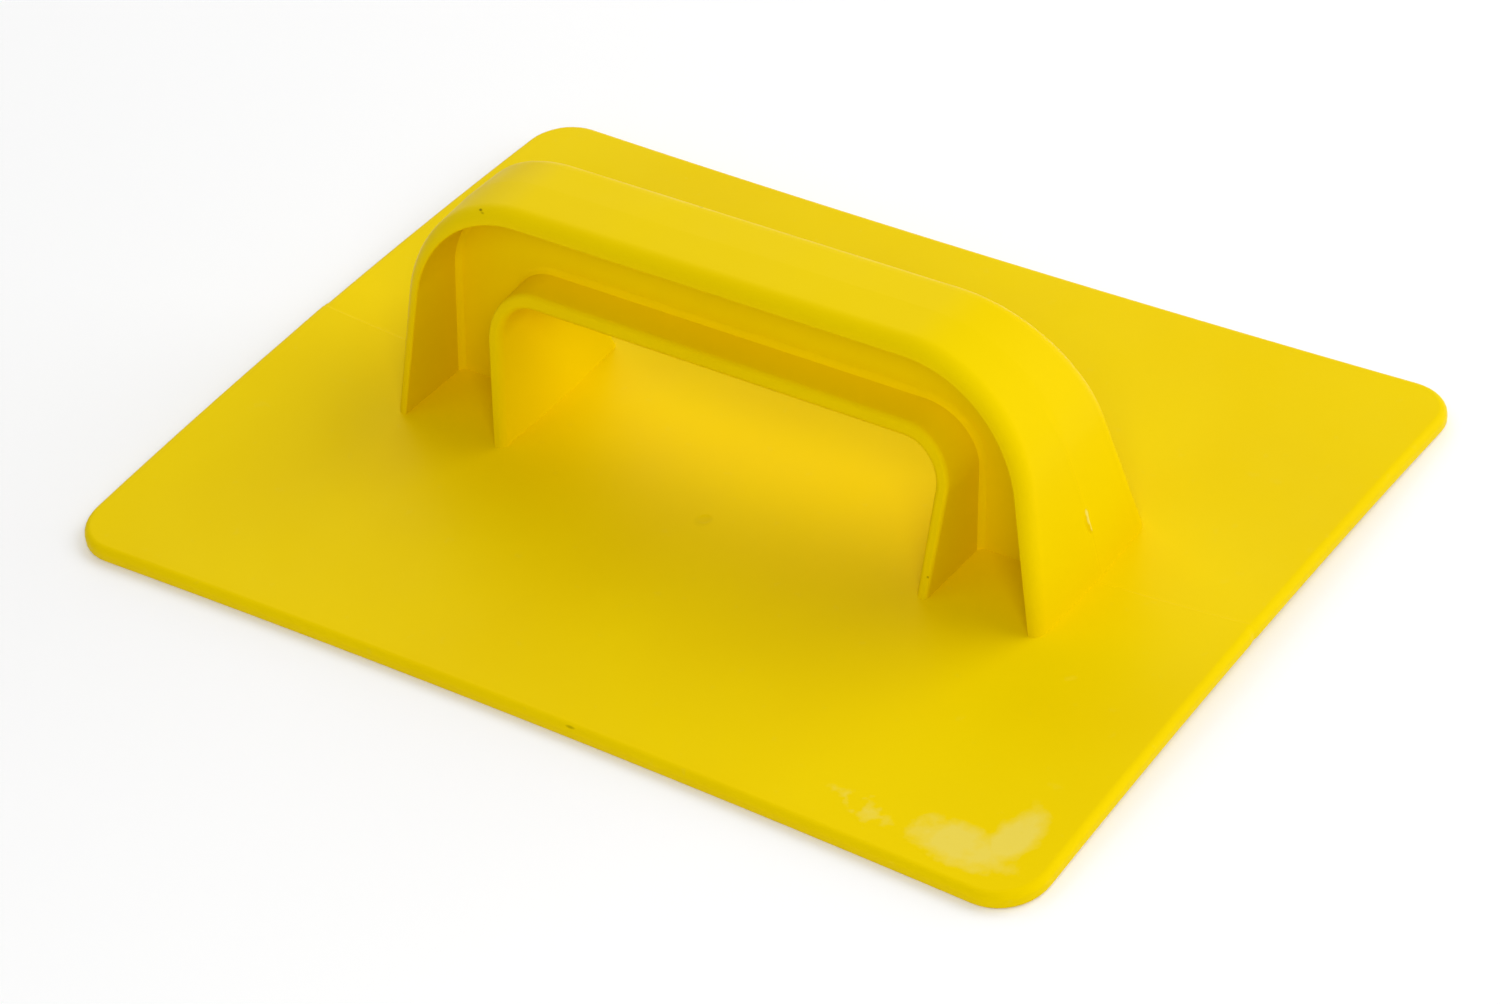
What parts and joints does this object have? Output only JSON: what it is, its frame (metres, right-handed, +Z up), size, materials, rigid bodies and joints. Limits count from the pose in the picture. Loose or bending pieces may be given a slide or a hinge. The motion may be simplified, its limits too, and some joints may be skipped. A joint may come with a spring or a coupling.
{
  "type": "plastic hand float",
  "caption": "Rectangular moulded plastic hand float with an integral D handle of I-shaped section, for smoothing render, plaster and concrete.",
  "frame": {"origin": "middle of the working face, on the plane that the float rests on", "axes": "+X along the blade and the grip, +Y across the blade, +Z up from the working face to the grip"},
  "size_m": [0.28, 0.208, 0.07],
  "materials": {
    "blade_plastic": "satin",
    "handle_plastic": "satin"
  },
  "bodies": {
    "root": {"blade": "blade_plastic", "handle_outer_flange": "handle_plastic", "handle_web": "handle_plastic", "handle_inner_flange": "handle_plastic"}
  },
  "joints": []
}
